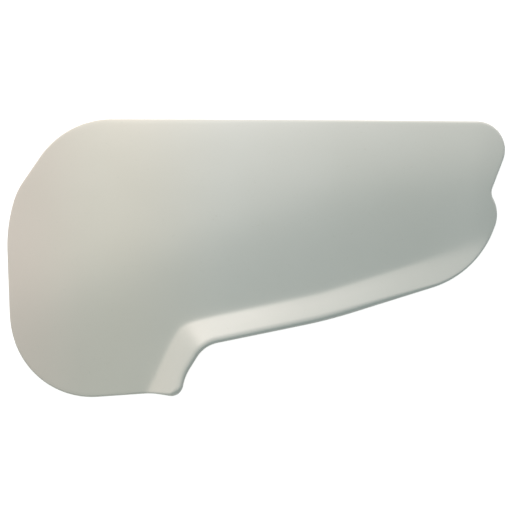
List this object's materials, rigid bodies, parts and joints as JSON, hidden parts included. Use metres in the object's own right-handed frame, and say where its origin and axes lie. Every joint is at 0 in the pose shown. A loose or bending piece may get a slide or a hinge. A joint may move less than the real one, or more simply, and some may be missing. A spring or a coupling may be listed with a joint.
{
  "type": "wing mirror cover",
  "caption": "Moulded shell that covers the front of a left door mirror, with a deep lobe at one end, a flared lip, snap hooks and locating pegs.",
  "frame": {"origin": "bottom centre of the bounding box, on the plane of the mounting rim", "axes": "+Z from the rim towards the crown, the outer face; +X from the rounded outer end with the deep lobe to the narrow inner end; +Y to the straight top edge"},
  "size_m": [0.2402, 0.1337, 0.0596],
  "materials": {
    "cover": "satin pale grey-white, smooth outside"
  },
  "bodies": {
    "root": {"mirror_cover": "cover"}
  },
  "joints": []
}
